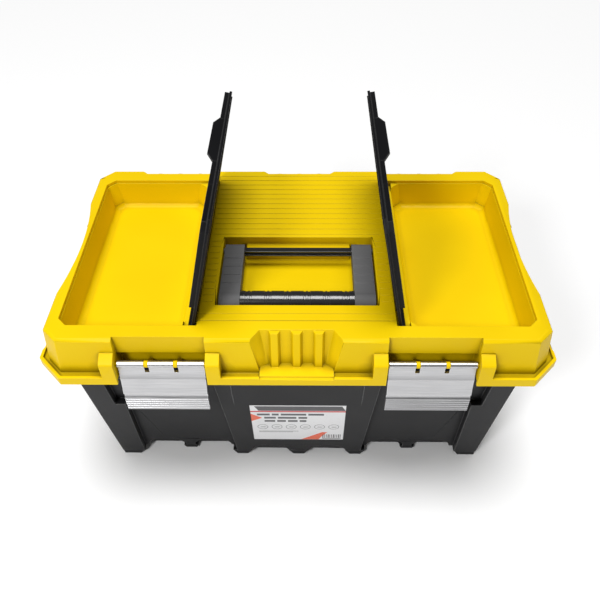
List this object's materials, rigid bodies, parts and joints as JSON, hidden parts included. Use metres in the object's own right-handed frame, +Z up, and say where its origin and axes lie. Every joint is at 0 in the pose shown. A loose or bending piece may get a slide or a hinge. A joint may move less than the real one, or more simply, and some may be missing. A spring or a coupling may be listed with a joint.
{
  "type": "toolbox with tray",
  "caption": "Hard plastic toolbox with a lift-out tray, two covered organiser bins in the lid, a fold-flat handle and metal front latches.",
  "frame": {"origin": "on the floor, under the middle of the box's footprint", "axes": "+X to the right across the front, +Y from front to back, +Z up"},
  "size_m": [0.468, 0.287, 0.3484],
  "materials": {
    "charcoal_plastic": "fine satin grain",
    "label_film": "printed film",
    "yellow_plastic": "satin moulded",
    "steel": "drawn wire",
    "cover_plastic": "satin moulded",
    "latch_aluminium": "brushed extrusion",
    "handle_grain": "coarse grain",
    "handle_gloss": "glossy moulded",
    "tray_plastic": "satin moulded"
  },
  "bodies": {
    "base": {"base_shell": "charcoal_plastic", "front_label": "label_film", "hinge_pin_left": "steel", "hinge_pin_right": "steel"},
    "lid": {"lid_shell": "yellow_plastic"},
    "left_cover": {"bin_cover_left": "cover_plastic"},
    "right_cover": {"bin_cover_right": "cover_plastic"},
    "left_latch": {"latch_left": "latch_aluminium"},
    "right_latch": {"latch_right": "latch_aluminium"},
    "handle": {"handle_arm_left": "handle_grain", "handle_arm_right": "handle_grain", "handle_grip": "handle_gloss", "handle_bar": "handle_gloss"},
    "tray": {"tray_shell": "tray_plastic", "tray_handle": "tray_plastic"}
  },
  "joints": [
    {"name": "lid_hinge", "type": "hinge", "parent": "base", "child": "lid", "pos_m": [0, 0.138, 0.1915], "axis": [-1, 0, 0], "range_deg": [0, 100]},
    {"name": "left_cover_hinge", "type": "hinge", "parent": "lid", "child": "left_cover", "pos_m": [-0.0925, -0.0067, 0.2335], "axis": [0, -1, 0], "range_deg": [0, 102.8]},
    {"name": "right_cover_hinge", "type": "hinge", "parent": "lid", "child": "right_cover", "pos_m": [0.0925, -0.0067, 0.2335], "axis": [0, 1, 0], "range_deg": [0, 101.5]},
    {"name": "handle_hinge", "type": "hinge", "parent": "lid", "child": "handle", "pos_m": [0, -0.008, 0.229], "axis": [-1, 0, 0], "range_deg": [0, 100]},
    {"name": "left_latch_hinge", "type": "hinge", "parent": "lid", "child": "left_latch", "pos_m": [-0.1194, -0.1355, 0.21], "axis": [-1, 0, 0], "range_deg": [0, 130]},
    {"name": "right_latch_hinge", "type": "hinge", "parent": "lid", "child": "right_latch", "pos_m": [0.1194, -0.1355, 0.21], "axis": [-1, 0, 0], "range_deg": [0, 130]},
    {"name": "tray_lift", "type": "slide", "parent": "base", "child": "tray", "axis": [0, 0, 1], "range_m": [0, 0.07]}
  ],
  "couplings": [
    {"joint": "tray_lift", "follows": "lid_hinge", "m_per_rad": 0.04}
  ]
}
